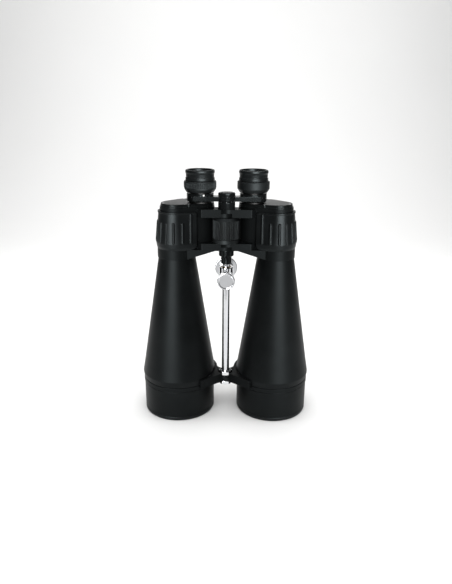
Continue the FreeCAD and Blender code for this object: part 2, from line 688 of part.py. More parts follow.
def pill(radius, start, end):
    """Round bar with rounded ends, from tip to tip."""
    along = end - start
    length = along.Length
    bend = radius * math.sin(math.pi / 4)
    crown_z = length - radius
    down = Part.Arc(Vector(0, 0, 0), Vector(bend, 0, radius - bend), Vector(radius, 0, radius))
    up = Part.Arc(Vector(radius, 0, crown_z), Vector(bend, 0, crown_z + bend), Vector(0, 0, length))
    wall = Part.LineSegment(Vector(radius, 0, radius), Vector(radius, 0, crown_z))
    core = Part.LineSegment(Vector(0, 0, length), Vector(0, 0, 0))
    face = Part.Face(Part.Wire([down.toShape(), wall.toShape(), up.toShape(), core.toShape()]))
    bar = face.revolve(Vector(0, 0, 0), Vector(0, 0, 1), 360)
    bar.Placement = FreeCAD.Placement(start, FreeCAD.Rotation(Vector(0, 0, 1), along))
    return bar


def standing_rib(face_point, where, low, high):
    """Rib on the armour's face; face_point gives the point and direction at a height."""
    sink = RIB_RADIUS - RIB_STAND
    foot, foot_out = face_point(where, low)
    top, top_out = face_point(where, high)
    return pill(RIB_RADIUS, foot - foot_out * sink, top - top_out * sink)


def armour_ribs():
    """Raised ribs: a long one near the hinge, then short ones round the outer side."""
    foot = FLOOR_Z + RIB_FOOT
    short_top = foot + SHORT_RIB_LENGTH
    ribs = [standing_rib(front_point, LONG_RIB_X, foot, foot + LONG_RIB_LENGTH)]
    ribs.append(standing_rib(front_point, SHORT_RIB_X, foot, short_top))
    for step in range(SIDE_RIBS):
        ribs.append(standing_rib(side_point, FIRST_RIB_ANGLE + step * RIB_PITCH, foot, short_top))
    return ribs


def armour():
    """Rubber skin on the front, outer side and belly of the housing."""
    top_z = HOUSING_TOP_Z - ARMOUR_TOP_DROP
    bead_skin = ARMOUR_TOP_SKIN + ARMOUR_BEAD_STAND
    bead = lobe_prism(housing_plan(bead_skin, bead_skin, bead_skin), top_z - ARMOUR_BEAD, top_z)
    core = lobe_prism(housing_plan(0, 0, 0), FLOOR_Z - 1, HOUSING_TOP_Z)
    depth = 2 * (BELLY_Y + BELLY_LOBE)
    panel = [
        (ARMOUR_INNER_X, FLOOR_Z, ARMOUR_CORNER),
        (3 * OBJECTIVE_X, FLOOR_Z, 0),
        (3 * OBJECTIVE_X, top_z, 0),
        (ARMOUR_INNER_X, top_z, 2.5),
    ]
    cutter = outline(panel, lambda u, v: Vector(u, -depth, v)).extrude(Vector(0, 2 * depth, 0))
    skin = lobe_loft(armour_levels()).fuse(bead).cut([core, hinge_gusset()]).common(cutter)
    return skin.fuse([rib.cut(core) for rib in armour_ribs()]).removeSplitter()


# ---- hinge and focusing -------------------------------------------------------------------------
def axle_slot():
    """Slot across the axle for the drive pin's travel."""
    width = 2 * (DRIVE_PIN_RADIUS + 0.2)
    low = drive_pin_z() - DRIVE_PIN_RADIUS - 1
    length = FOCUS_TRAVEL + 2 * DRIVE_PIN_RADIUS + 2
    return Part.makeBox(4 * AXLE_RADIUS, width, length, Vector(-2 * AXLE_RADIUS, HINGE_Y - width / 2, low))


def drive_pin_z():
    """Height of the drive pin when the eyepieces are fully down."""
    return (WHEEL_FOOT_Z + WHEEL_TOP_Z) / 2 - FOCUS_TRAVEL / 2


def hinge_axle():
    """Hollow axle through every knuckle, slotted for the drive pin."""
    low = SOCKET_TOP_Z - 6.0
    axle = hinge_disc(AXLE_RADIUS, low, CAP_NUT_TOP_Z - 0.6)
    bore = hinge_disc(SPINDLE_RADIUS + RUN, low + 2.0, CAP_NUT_TOP_Z)
    return axle.cut(bore).cut(axle_slot())


def hinge_cap_nut():
    """Round nut that closes the top of the hinge."""
    return lathe([
        (AXLE_RADIUS, UPPER_ARM_TOP_Z),
        (COLUMN_RADIUS, UPPER_ARM_TOP_Z, 0.3),
        (COLUMN_RADIUS, CAP_NUT_TOP_Z, 0.8),
        (AXLE_RADIUS, CAP_NUT_TOP_Z),
    ], 0, HINGE_Y)


def rod_socket():
    """Stepped socket that joins the lower end of the axle to the rod."""
    axle_low = SOCKET_TOP_Z - 6.0
    return lathe([
        (0, axle_low - 1.5),
        (0, axle_low),
        (AXLE_RADIUS, axle_low),
        (AXLE_RADIUS, SOCKET_TOP_Z),
        (SOCKET_RADIUS, SOCKET_TOP_Z, 0.6),
        (SOCKET_RADIUS, SOCKET_HEAD_Z, 0.8),
        (SOCKET_NOSE_RADIUS, SOCKET_HEAD_Z - 1.8, 0.8),
        (SOCKET_NOSE_RADIUS, SOCKET_Z, 0.8),
        (ROD_RADIUS, SOCKET_Z),
        (ROD_RADIUS, axle_low - 1.5),
    ], 0, HINGE_Y)


def focus_wheel():
    """Wheel core with a plain lower band, a chamfered top and a groove for the drive pin."""
    seat = WHEEL_RADIUS - 3.0
    pin_room = DRIVE_PIN_REACH + GAP
    pin_low = drive_pin_z() - DRIVE_PIN_RADIUS - 1
    pin_high = drive_pin_z() + FOCUS_TRAVEL + DRIVE_PIN_RADIUS + 1
    bore = AXLE_RADIUS + RUN
    return lathe([
        (bore, WHEEL_FOOT_Z),
        (WHEEL_RADIUS, WHEEL_FOOT_Z, 0.8),
        (WHEEL_RADIUS, WHEEL_FOOT_Z + WHEEL_BAND, 0.4),
        (seat, WHEEL_FOOT_Z + WHEEL_BAND),
        (seat, WHEEL_TOP_Z - WHEEL_CHAMFER),
        (WHEEL_RADIUS - 0.2, WHEEL_TOP_Z - WHEEL_CHAMFER),
        (WHEEL_RADIUS - WHEEL_CHAMFER, WHEEL_TOP_Z, 0.5),
        (bore, WHEEL_TOP_Z),
        (bore, pin_high),
        (pin_room, pin_high),
        (pin_room, pin_low),
        (bore, pin_low),
    ], 0, HINGE_Y)


def focus_grip():
    """Finely ribbed rubber sleeve on the wheel core."""
    low = WHEEL_FOOT_Z + WHEEL_BAND
    high = WHEEL_TOP_Z - WHEEL_CHAMFER
    sleeve = toothed(WHEEL_RADIUS - 0.8, WHEEL_RADIUS, WHEEL_RIBS, low + 0.6, high, 0, HINGE_Y)
    base = hinge_disc(WHEEL_RADIUS - 0.9, low, high)
    return sleeve.fuse(base).cut(hinge_disc(WHEEL_RADIUS - 3.0, low - 1, high + 1)).removeSplitter()


def focus_spindle():
    """Spindle that lifts the eyepiece bridge, drilled for the drive pin."""
    low = drive_pin_z() - 4.0
    spindle = hinge_disc(SPINDLE_RADIUS, low, EYE_ARM_Z)
    head = hinge_disc(SPINDLE_HEAD_RADIUS, EYE_ARM_Z, EYE_ARM_TOP_Z + GAP)
    pin_hole = Part.makeCylinder(
        DRIVE_PIN_RADIUS, 4 * AXLE_RADIUS, Vector(-2 * AXLE_RADIUS, HINGE_Y, drive_pin_z()), Vector(1, 0, 0)
    )
    cap_hole = hinge_disc(2.5, EYE_ARM_TOP_Z - 8.0, EYE_ARM_TOP_Z + 1)
    return spindle.fuse(head).cut(pin_hole).cut(cap_hole).removeSplitter()


def focus_drive_pin():
    """Cross pin that the wheel's groove pushes up and down."""
    start = Vector(-DRIVE_PIN_REACH, HINGE_Y, drive_pin_z())
    return Part.makeCylinder(DRIVE_PIN_RADIUS, 2 * DRIVE_PIN_REACH, start, Vector(1, 0, 0))


def bridge_cap():
    """Low domed cap screwed into the top of the spindle."""
    low = EYE_ARM_TOP_Z + GAP
    corners = [
        (0, low - 7.0),
        (2.5, low - 7.0),
        (2.5, low),
        (COLUMN_RADIUS, low, 0.5),
        (COLUMN_RADIUS, low + CAP_HEIGHT - 1.2, 1.6),
        (COLUMN_RADIUS - 4.0, low + CAP_HEIGHT - 0.4, 4.0),
        (0, low + CAP_HEIGHT),
    ]
    return lathe(corners, 0, HINGE_Y)


# ---- eyepieces ----------------------------------------------------------------------------------
def eyepiece_arm(takes_top):
    """Flat arm from the column to the clamping ring round the eyepiece tube."""
    front = EYE_Y - NECK_RADIUS - EYE_ARM_FRONT
    column_front = HINGE_Y - EYE_ARM_WIDTH / 2
    bar = plate([
        (0, column_front),
        (COLUMN_RADIUS, column_front, 6.0),
        (EYE_X - 0.5 * NECK_RADIUS, front, 8.0),
        (EYE_X + 0.6 * NECK_RADIUS, front, 2.5),
        (EYE_X + 0.6 * NECK_RADIUS, EYE_Y - 0.75 * NECK_RADIUS),
        (EYE_X, EYE_Y),
        (0, HINGE_Y + EYE_ARM_WIDTH / 2),
    ], EYE_ARM_Z, EYE_ARM_TOP_Z)
    bore = SPINDLE_HEAD_RADIUS + RUN if takes_top else SPINDLE_HEAD_RADIUS
    arm = half_lapped(bar, EYE_ARM_Z, EYE_ARM_TOP_Z, COLUMN_RADIUS, bore, takes_top)
    ring = lathe([
        (TUBE_RADIUS, NECK_Z),
        (NECK_RADIUS - 0.6, NECK_Z, 0.3),
        (NECK_RADIUS, NECK_Z + 1.2, 0.3),
        (NECK_RADIUS, NECK_TOP_Z, 0.5),
        (TUBE_RADIUS, NECK_TOP_Z),
    ], EYE_X, EYE_Y)
    arm = arm.fuse(ring).cut(disc(TUBE_RADIUS, NECK_Z - 1, NECK_TOP_Z + 1, EYE_X, EYE_Y))
    return arm.removeSplitter()


def eyepiece_tube():
    """Tube that slides in the prism cover when the bridge moves."""
    return tube(TUBE_RADIUS, TUBE_BORE, TUBE_Z, NECK_TOP_Z, EYE_X, EYE_Y)


def ocular_cell():
    """Inner tube with the eyepiece lenses, flanged at its upper end."""
    low = NECK_TOP_Z - 12.0
    flange_z = BODY_TOP_Z - 4.0
    flange = CELL_RADIUS + 2.0
    bore = EYE_LENS_RADIUS - 0.8
    corners = [
        (EYE_LENS_RADIUS, low),
        (CELL_RADIUS, low),
        (CELL_RADIUS, flange_z),
        (flange, flange_z),
        (flange, BODY_TOP_Z + 0.2, 0.3),
        (EYE_LENS_RADIUS, BODY_TOP_Z + 0.2),
        (EYE_LENS_RADIUS, BODY_TOP_Z - 5.0),
        (bore, BODY_TOP_Z - 5.0),
        (bore, low + 5.0),
        (EYE_LENS_RADIUS, low + 5.0),
    ]
    return lathe(corners, EYE_X, EYE_Y)


def field_lens():
    """Lens at the lower end of the ocular cell."""
    low = NECK_TOP_Z - 12.0
    return lens(EYE_LENS_RADIUS, low + 2.0, low + 5.0, 1.8, -0.4, EYE_X, EYE_Y)


def eye_lens():
    """Lens that the eye looks into."""
    low = BODY_TOP_Z - 5.0
    return lens(EYE_LENS_RADIUS, low, low + 3.0, -0.4, 1.4, EYE_X, EYE_Y)


def body_profile(band_radius):
    """Turned shell round the ocular cell; band_radius is its upper, grip part."""
    flange = CELL_RADIUS + 2.0
    flange_z = BODY_TOP_Z - 4.0
    neck = CUP_RADIUS - 2.2
    band_z = BODY_Z + 0.34 * BODY_HEIGHT
    return [
        (CELL_RADIUS + RUN, BODY_Z),
        (BODY_FOOT_RADIUS, BODY_Z, 0.5),
        (BODY_RADIUS, band_z, 1.0),
        (band_radius, band_z + 0.4),
        (band_radius, BODY_TOP_Z - 1.2),
        (BODY_RADIUS, BODY_TOP_Z - 0.9, 0.3),
        (BODY_RADIUS - 0.6, BODY_TOP_Z, 0.3),
        (neck, BODY_TOP_Z),
        (neck, BODY_TOP_Z + 5.0),
        (flange + RUN, BODY_TOP_Z + 5.0),
        (flange + RUN, flange_z - 0.1),
        (CELL_RADIUS + RUN, flange_z - 0.1),
    ]


def eyepiece_body():
    """Plain shell of the fixed eyepiece."""
    return lathe(body_profile(BODY_RADIUS - 0.1), EYE_X, EYE_Y)


def dioptre_ring():
    """Shell of the adjustable eyepiece with a band of fine ribs."""
    root = BODY_RADIUS - 0.7
    band_z = BODY_Z + 0.34 * BODY_HEIGHT + 0.9
    band = toothed(root, BODY_RADIUS, BODY_RIBS, band_z, BODY_TOP_Z - 1.6, EYE_X, EYE_Y)
    band = band.cut(disc(root - 1.0, band_z - 1, BODY_TOP_Z, EYE_X, EYE_Y))
    return lathe(body_profile(root), EYE_X, EYE_Y).fuse(band).removeSplitter()


def eyecup():
    """Rubber cup with a rolled rim, pushed onto the shell's neck."""
    neck = CUP_RADIUS - 2.2
    return lathe([
        (neck, CUP_Z),
        (CUP_RADIUS, CUP_Z, 0.8),
        (CUP_RADIUS - 0.2, CUP_Z + 3.4, 0.5),
        (CUP_RADIUS - 0.9, CUP_Z + 4.0, 0.4),
        (CUP_RADIUS - 0.7, CUP_TOP_Z - 5.0, 1.0),
        (CUP_RADIUS, CUP_TOP_Z - 2.9, 1.3),
        (CUP_RADIUS - 0.3, CUP_TOP_Z, 1.5),
        (CUP_BORE + 0.4, CUP_TOP_Z, 1.2),
        (CUP_BORE, CUP_TOP_Z - 3.0, 1.0),
        (CUP_BORE, BODY_TOP_Z + 5.2),
        (neck, BODY_TOP_Z + 5.2),
    ], EYE_X, EYE_Y)


# ---- rod, front bridge and tripod carriage ------------------------------------------------------
def rod():
    """Polished rod from the hinge to the front bridge."""
    top = SOCKET_TOP_Z - 7.5
    return lathe([(0, ROD_Z), (ROD_RADIUS, ROD_Z, 0.8), (ROD_RADIUS, top), (0, top)], 0, HINGE_Y)


def rod_nuts():
    """Two hexagon nuts that clamp the hub of the front bridge on the rod."""
    corner_radius = NUT_FLATS / math.sqrt(3)
    points = []
    for corner in range(6):
        angle = math.radians(60 * corner)
        points.append((corner_radius * math.cos(angle), HINGE_Y + corner_radius * math.sin(angle)))
    flat = NUT_FLATS / 2 - 0.2
    wide = corner_radius + 0.1
    nuts = []
    for low in (HUB_TOP_Z + GAP, HUB_Z - NUT_HEIGHT):
        high = low + NUT_HEIGHT
        chamfered = lathe([
            (0, low),
            (flat, low),
            (wide, low + NUT_CHAMFER),
            (wide, high - NUT_CHAMFER),
            (flat, high),
            (0, high),
        ], 0, HINGE_Y)
        nut = plate(points, low, high).common(chamfered)
        nuts.append(nut.cut(hinge_disc(ROD_RADIUS, low - 1, high + 1)))
    return Part.makeCompound(nuts)


def front_arm(takes_top):
    """Arm of the front bridge: halved hub knuckle, web and the pad that hugs the barrel."""
    high = WEB_Z + WEB_HEIGHT
    pad_radius = BARREL_PAD_RADIUS + PAD_THICKNESS
    surface_x = OBJECTIVE_X - BARREL_PAD_RADIUS
    nut_clear = NUT_FLATS / math.sqrt(3) + 1.0
    web = plate([
        (3.0, HINGE_Y - 8.0),
        (surface_x + 12.0, HINGE_Y - 27.0),
        (surface_x + 18.0, HINGE_Y - 20.0),
        (surface_x + 8.0, HINGE_Y + 27.0),
        (surface_x + 0.5, HINGE_Y + 24.0, 3.0),
        (surface_x - 5.0, HINGE_Y + 9.0, 9.0),
        (0.0, HINGE_Y + 7.5),
    ], WEB_Z, high)
    pad = tube(pad_radius, BARREL_PAD_RADIUS - 1, WEB_Z, high, OBJECTIVE_X)
    reach = 2 * pad_radius
    front_angle = math.radians(PAD_FRONT_ANGLE)
    back_angle = math.radians(PAD_BACK_ANGLE)
    sector = plate([
        (OBJECTIVE_X, 0),
        (OBJECTIVE_X - reach * math.cos(back_angle), reach * math.sin(back_angle)),
        (OBJECTIVE_X - 2 * reach, 0),
        (OBJECTIVE_X - reach * math.cos(front_angle), -reach * math.sin(front_angle)),
    ], WEB_Z, high)
    outer = web.fuse(pad.common(sector)).cut(hinge_disc(nut_clear, 0, high + 1))
    hub_middle = HUB_Z + HUB_HEIGHT / 2
    low = hub_middle + GAP / 2 if takes_top else HUB_Z
    top = HUB_TOP_Z if takes_top else hub_middle - GAP / 2
    tongue = plate([
        (0, HINGE_Y - 7.5),
        (nut_clear + 6.0, HINGE_Y - 9.0),
        (nut_clear + 6.0, HINGE_Y + 9.0),
        (0, HINGE_Y + 7.5),
    ], low, top)
    beyond = hinge_disc(nut_clear + 0.6, low - 1, top + 1)
    tongue = tongue.common(beyond).fuse(hinge_disc(HUB_RADIUS, low, top))
    bore = ROD_RADIUS + RUN if takes_top else ROD_RADIUS
    barrel = disc(BARREL_PAD_RADIUS, 0, high + 1, OBJECTIVE_X)
    return outer.fuse(tongue).cut(barrel).cut(hinge_disc(bore, 0, high + 1)).removeSplitter()


def facing(radius, start, end, height):
    """Cylinder along Y between two places in front of or behind the rod axis."""
    return Part.makeCylinder(radius, end - start, Vector(0, HINGE_Y + start, height), Vector(0, 1, 0))


def carriage_bush():
    """Split liner that grips the rod inside the carriage."""
    low = CARRIAGE_Z - CARRIAGE_HEIGHT / 2 + 0.5
    high = CARRIAGE_TOP_Z - 0.5
    bush = tube(BUSH_RADIUS, ROD_RADIUS + RUN, low, high, 0, HINGE_Y)
    split = Part.makeBox(1.0, 2 * BUSH_RADIUS, high - low + 2, Vector(-0.5, HINGE_Y, low - 1))
    return bush.cut(split)


def tripod_carriage():
    """Sleeve that slides on the rod, with a boss in front and a post behind."""
    low = CARRIAGE_Z - CARRIAGE_HEIGHT / 2
    sleeve = lathe([
        (0, low),
        (SLEEVE_RADIUS, low, 0.8),
        (SLEEVE_RADIUS, CARRIAGE_TOP_Z, 0.8),
        (0, CARRIAGE_TOP_Z),
    ], 0, HINGE_Y)
    boss = facing(BOSS_RADIUS, -KNOB_REACH + KNOB_THICKNESS + 4.0, 0, CARRIAGE_Z)
    post = facing(FOOT_POST_RADIUS, 0, FOOT_REACH - FOOT_THICKNESS - 3.0, CARRIAGE_Z)
    screw_hole = facing(LOCK_SCREW_RADIUS + RUN, -KNOB_REACH, 0, CARRIAGE_Z)
    sleeve = sleeve.fuse([boss, post]).cut(hinge_disc(BUSH_RADIUS + RUN, low - 1, CARRIAGE_TOP_Z + 1))
    return sleeve.cut(screw_hole).removeSplitter()


def turned_along_y(corners, height):
    """Solid turned about the carriage's cross axis from (radius, place[, corner radius])."""
    full = [corner if len(corner) == 3 else (corner[0], corner[1], 0) for corner in corners]
    face = outline(full, lambda u, v: Vector(u, HINGE_Y + v, height))
    return face.revolve(Vector(0, HINGE_Y, height), Vector(0, 1, 0), 360)


def tripod_foot():
    """Round foot with the threaded socket for a tripod plate."""
    back = FOOT_REACH
    front = back - FOOT_THICKNESS - 3.0
    return turned_along_y([
        (0, front),
        (FOOT_POST_RADIUS + 2.0, front, 0.8),
        (FOOT_POST_RADIUS + 2.0, back - FOOT_THICKNESS),
        (FOOT_RADIUS, back - FOOT_THICKNESS, 0.8),
        (FOOT_RADIUS, back, 0.8),
        (TRIPOD_HOLE_RADIUS + 0.6, back),
        (TRIPOD_HOLE_RADIUS, back - 0.6),
        (TRIPOD_HOLE_RADIUS, back - TRIPOD_HOLE_DEPTH),
        (0, back - TRIPOD_HOLE_DEPTH),
    ], CARRIAGE_Z)


def lock_knob():
    """Round knob with a finely ribbed edge and a slightly dished face."""
    face = -KNOB_REACH
    back = face + KNOB_THICKNESS
    core = turned_along_y([
        (0, face + 0.5),
        (KNOB_RADIUS - 2.6, face + 0.5),
        (KNOB_RADIUS - 2.0, face, 0.3),
        (KNOB_RADIUS - 0.5, face, 0.6),
        (KNOB_RADIUS - 0.5, back, 0.8),
        (BOSS_RADIUS, back, 0.5),
        (BOSS_RADIUS, back + 3.5, 0.4),
        (LOCK_SCREW_RADIUS, back + 3.5),
        (LOCK_SCREW_RADIUS, face + 4.0),
        (0, face + 4.0),
    ], CARRIAGE_Z)
    ribs = toothed(KNOB_RADIUS - 0.6, KNOB_RADIUS, KNOB_RIBS, 0, KNOB_THICKNESS - 2.6)
    ribs = ribs.cut(disc(KNOB_RADIUS - 1.4, -1, KNOB_THICKNESS))
    ribs.rotate(Vector(0, 0, 0), Vector(1, 0, 0), -90)
    ribs.translate(Vector(0, HINGE_Y + face + 1.3, CARRIAGE_Z))
    return core.fuse(ribs).removeSplitter()


def lock_screw():
    """Screw whose tip squeezes the split bush onto the rod."""
    return facing(LOCK_SCREW_RADIUS, -KNOB_REACH + 4.0, -BUSH_RADIUS - 0.1, CARRIAGE_Z)


# ---- nodes --------------------------------------------------------------------------------------
def side_nodes():
    """Pieces that are the same on both sides, apart from being mirrored."""
    return {
        "objective_rim": objective_rim(),
        "objective_bell": objective_bell(),
        "lens_retaining_ring": lens_retaining_ring(),
        "objective_crown": objective_crown(),
        "objective_flint": objective_flint(),
        "objective_barrel": objective_barrel(),
        "prism_cover": prism_cover(),
        "cover_screws": cover_screws(),
        "prism_shelf": prism_shelf(),
        "prism_a": prism_a(),
        "prism_b": prism_b(),
        "armour": armour(),
        "eyepiece_tube": eyepiece_tube(),
        "ocular_cell": ocular_cell(),
        "field_lens": field_lens(),
        "eye_lens": eye_lens(),
        "eyecup": eyecup(),
    }


def all_nodes():
    """Every piece by its node name."""
    nodes = {
        "left_prism_housing": prism_housing(True),
        "right_prism_housing": mirrored(prism_housing(False)),
        "left_eyepiece_arm": eyepiece_arm(False),
        "right_eyepiece_arm": mirrored(eyepiece_arm(True)),
        "left_eyepiece_body": eyepiece_body(),
        "right_dioptre_ring": mirrored(dioptre_ring()),
        "left_front_arm": front_arm(False),
        "right_front_arm": mirrored(front_arm(True)),
        "hinge_axle": hinge_axle(),
        "hinge_cap_nut": hinge_cap_nut(),
        "rod_socket": rod_socket(),
        "rod": rod(),
        "rod_nuts": rod_nuts(),
        "focus_wheel": focus_wheel(),
        "focus_grip": focus_grip(),
        "focus_spindle": focus_spindle(),
        "focus_drive_pin": focus_drive_pin(),
        "bridge_cap": bridge_cap(),
        "carriage_bush": carriage_bush(),
        "tripod_carriage": tripod_carriage(),
        "tripod_foot": tripod_foot(),
        "lock_knob": lock_knob(),
        "lock_screw": lock_screw(),
    }
    for name, shape in side_nodes().items():
        nodes["left_" + name] = shape
        nodes["right_" + name] = mirrored(shape)
    return nodes


os.makedirs("parts", exist_ok=True)
for node, solid in all_nodes().items():
    solid.exportStep("parts/" + node + ".step")
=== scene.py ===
import math

import bmesh
import bpy
from mathutils import Matrix, Vector

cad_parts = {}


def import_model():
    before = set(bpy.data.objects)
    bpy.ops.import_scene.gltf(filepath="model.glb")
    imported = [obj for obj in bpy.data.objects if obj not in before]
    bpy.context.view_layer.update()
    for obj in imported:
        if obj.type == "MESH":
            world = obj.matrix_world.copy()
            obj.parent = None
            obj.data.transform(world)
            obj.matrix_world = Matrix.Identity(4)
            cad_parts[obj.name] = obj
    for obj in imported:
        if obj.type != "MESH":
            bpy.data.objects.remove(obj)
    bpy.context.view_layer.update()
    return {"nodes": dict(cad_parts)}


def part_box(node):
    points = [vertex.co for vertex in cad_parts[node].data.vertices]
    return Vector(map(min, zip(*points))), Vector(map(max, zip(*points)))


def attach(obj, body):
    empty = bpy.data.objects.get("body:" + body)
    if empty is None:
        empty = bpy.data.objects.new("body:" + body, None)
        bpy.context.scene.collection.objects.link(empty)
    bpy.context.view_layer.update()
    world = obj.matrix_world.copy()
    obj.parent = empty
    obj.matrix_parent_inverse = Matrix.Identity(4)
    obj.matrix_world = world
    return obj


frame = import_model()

NODES = frame["nodes"]

# sizes in metres, angles in degrees
NECK_RADIUS = 0.0169        # clamping ring of the right eyepiece arm
MARK_SINK = 0.0002          # how far the index mark's filling goes in
MARK_STAND = 0.00006        # and how far it stands out
MARK_STEPS = 4
FLOOR_HALF_WIDTH = 1.3
FLOOR_FRONT = -0.46
FLOOR_BEND = 0.9            # where the floor starts to curve up, and the curve's radius
FLOOR_STEPS = 12
CAMERA_PLACE = (0.0, -0.672, 0.3926)
CAMERA_TILT = 71.3
CAMERA_ROLL = 0.45
CAMERA_LENS = 33.29         # millimetres, on a sensor 36 mm wide


# ---- material helpers ---------------------------------------------------------------------------
class Mat:
    """A node material under construction, with its shader and object coordinates."""

    def __init__(self, name, **sockets):
        self.mat = bpy.data.materials.new(name)
        self.mat.use_nodes = True
        self.tree = self.mat.node_tree
        self.shader = self.tree.nodes["Principled BSDF"]
        self.coord = self.tree.nodes.new("ShaderNodeTexCoord").outputs["Object"]
        for socket, value in sockets.items():
            self.shader.inputs[socket.replace("_", " ")].default_value = value

    def node(self, kind, links=(), **values):
        made = self.tree.nodes.new(kind)
        for key, value in values.items():
            if hasattr(made, key):
                setattr(made, key, value)
            else:
                made.inputs[key.replace("_", " ")].default_value = value
        for socket, source in dict(links).items():
            self.tree.links.new(source, made.inputs[socket])
        return made

    def link(self, source, socket):
        self.tree.links.new(source, self.shader.inputs[socket])

    def noise(self, scale, detail=2.0, stretch=None):
        vector = self.coord
        if stretch:
            vector = self.node("ShaderNodeMapping", {"Vector": self.coord}, Scale=stretch).outputs["Vector"]
        return self.node("ShaderNodeTexNoise", {"Vector": vector}, Scale=scale, Detail=detail).outputs["Fac"]

    def cells(self, scale):
        return self.node("ShaderNodeTexVoronoi", {"Vector": self.coord}, Scale=scale).outputs["Distance"]

    def ramp(self, source, low, high, out_low=0.0, out_high=1.0):
        made = self.node("ShaderNodeMapRange", {"Value": source})
        made.inputs["From Min"].default_value = low
        made.inputs["From Max"].default_value = high
        made.inputs["To Min"].default_value = out_low
        made.inputs["To Max"].default_value = out_high
        return made.outputs["Result"]

    def mix(self, factor, first, second):
        made = self.node("ShaderNodeMix", data_type="RGBA")
        self.tree.links.new(factor, made.inputs["Factor"])
        for socket, value in ((made.inputs[6], first), (made.inputs[7], second)):
            if isinstance(value, tuple):
                socket.default_value = value
            else:
                self.tree.links.new(value, socket)
        return made.outputs[2]

    def add(self, first, second, share=1.0):
        scaled = self.node("ShaderNodeMath", {0: second}, operation="MULTIPLY")
        scaled.inputs[1].default_value = share
        return self.node("ShaderNodeMath", {0: first, 1: scaled.outputs[0]}, operation="ADD").outputs[0]

    def rounded(self, radius):
        """Normals softened round sharp edges, and how near an edge a point is."""
        soft = self.node("ShaderNodeBevel", samples=4, Radius=radius).outputs["Normal"]
        flat = self.node("ShaderNodeNewGeometry").outputs["True Normal"]
        dot = self.node("ShaderNodeVectorMath", {0: soft, 1: flat}, operation="DOT_PRODUCT")
        return soft, self.ramp(dot.outputs["Value"], 0.995, 0.90)

    def bump(self, height, distance, strength, normal=None):
        made = self.node("ShaderNodeBump", {"Height": height}, Distance=distance, Strength=strength)
        if normal is not None:
            self.tree.links.new(normal, made.inputs["Normal"])
        self.link(made.outputs["Normal"], "Normal")


def rgb(r, g=None, b=None):
    return (r, r if g is None else g, r if b is None else b, 1.0)


def cool(grey):
    """Near-black with the slight blue-green cast of the instrument's finish."""
    return rgb(0.90 * grey, 1.02 * grey, 1.05 * grey)


def paint(name, dark, light, rough, grain, edge_wear_and_highlight_grey, bevel, specular, relief):
    """Black paint: fine texture, faint dust, and edges lightened in colour, partly as rubbed wear and partly
    as a painted edge highlight.
    """
    m = Mat(name, Specular_IOR_Level=specular)
    m.shader.inputs["Specular Tint"].default_value = cool(0.98)
    soft, edge = m.rounded(bevel)
    cloud = m.noise(38.0, 4.0)
    speck = m.noise(2600.0, 2.0)
    base = m.mix(m.ramp(cloud, 0.35, 0.7), cool(dark), cool(light))
    fleck = m.ramp(speck, 0.62, 0.80)
    base = m.mix(m.ramp(fleck, 0.0, 1.0, 0.0, 0.25), base, cool(light * 1.8))
    handled = m.ramp(m.noise(210.0, 5.0), 0.42, 0.62)
    # edge mask times the wear noise: lighter edge colour, partly rubbed wear and partly a painted edge
    # highlight
    edge_wear_and_highlight_mask = m.node("ShaderNodeMath", {0: edge, 1: handled}, operation="MULTIPLY")
    base = m.mix(edge_wear_and_highlight_mask.outputs[0], base, cool(edge_wear_and_highlight_grey))
    m.link(base, "Base Color")
    smear = m.noise(14.0, 5.0, (1.0, 1.0, 0.35))
    m.link(m.add(m.ramp(smear, 0.3, 0.75, rough - 0.03, rough + 0.04), edge_wear_and_highlight_mask.outputs[0], -0.08), "Roughness")
    peel = m.add(m.noise(grain, 3.0), m.cells(grain * 0.55), 0.6)
    m.bump(peel, 0.00012, relief, soft)
    return m.mat


def rubber():
    """Moulded rubber: pebbled skin, edges lightened in colour as a painted edge highlight, slightly polished
    high spots, a little dust.
    """
    m = Mat("black_rubber", Specular_IOR_Level=0.17)
    m.shader.inputs["Specular Tint"].default_value = cool(0.98)
    soft, edge = m.rounded(0.0007)
    pebble = m.cells(1500.0)
    fine = m.noise(5200.0, 2.0)
    cloud = m.noise(30.0, 5.0)
    base = m.mix(m.ramp(cloud, 0.35, 0.7), cool(0.0035), cool(0.0060))
    # painted edge highlight: every edge lightened towards a grey
    base = m.mix(m.ramp(edge, 0.0, 1.0, 0.0, 0.5), base, rgb(0.020))
    m.link(base, "Base Color")
    rough = m.ramp(m.add(cloud, m.noise(420.0, 3.0), 0.5), 0.5, 1.1, 0.30, 0.42)
    m.link(m.add(rough, edge, -0.10), "Roughness")
    m.bump(m.add(pebble, fine, 0.25), 0.00014, 0.20, soft)
    return m.mat


def metal(name, base, worn, rough, stretch, scratch=0.10, edge=0.0004):
    """Plated or turned metal with fine machining lines and faint handling marks."""
    m = Mat(name, Metallic=1.0)
    soft, rim = m.rounded(edge)
    cloud = m.noise(55.0, 5.0)
    m.link(m.mix(m.ramp(cloud, 0.4, 0.75), base, worn), "Base Color")
    lines = m.noise(900.0, 3.0, stretch)
    prints = m.ramp(cloud, 0.45, 0.8, 0.0, 0.08)
    m.link(m.add(m.add(m.ramp(lines, 0.3, 0.7, rough, rough + 0.05), prints), rim, 0.05), "Roughness")
    m.bump(lines, 0.00003, scratch, soft)
    return m.mat


def coated_glass():
    """Lens with a coloured anti-reflection coating."""
    m = Mat("coated_glass", IOR=1.52, Transmission_Weight=1.0)
    m.shader.inputs["Specular Tint"].default_value = (0.30, 0.85, 0.62, 1.0)
    dust = m.ramp(m.noise(900.0, 4.0), 0.60, 0.80, 0.015, 0.09)
    m.link(dust, "Roughness")
    cloud = m.ramp(m.noise(25.0, 3.0), 0.3, 0.8)
    m.link(m.mix(cloud, rgb(0.90, 0.97, 0.95), rgb(0.97, 0.99, 0.98)), "Base Color")
    return m.mat


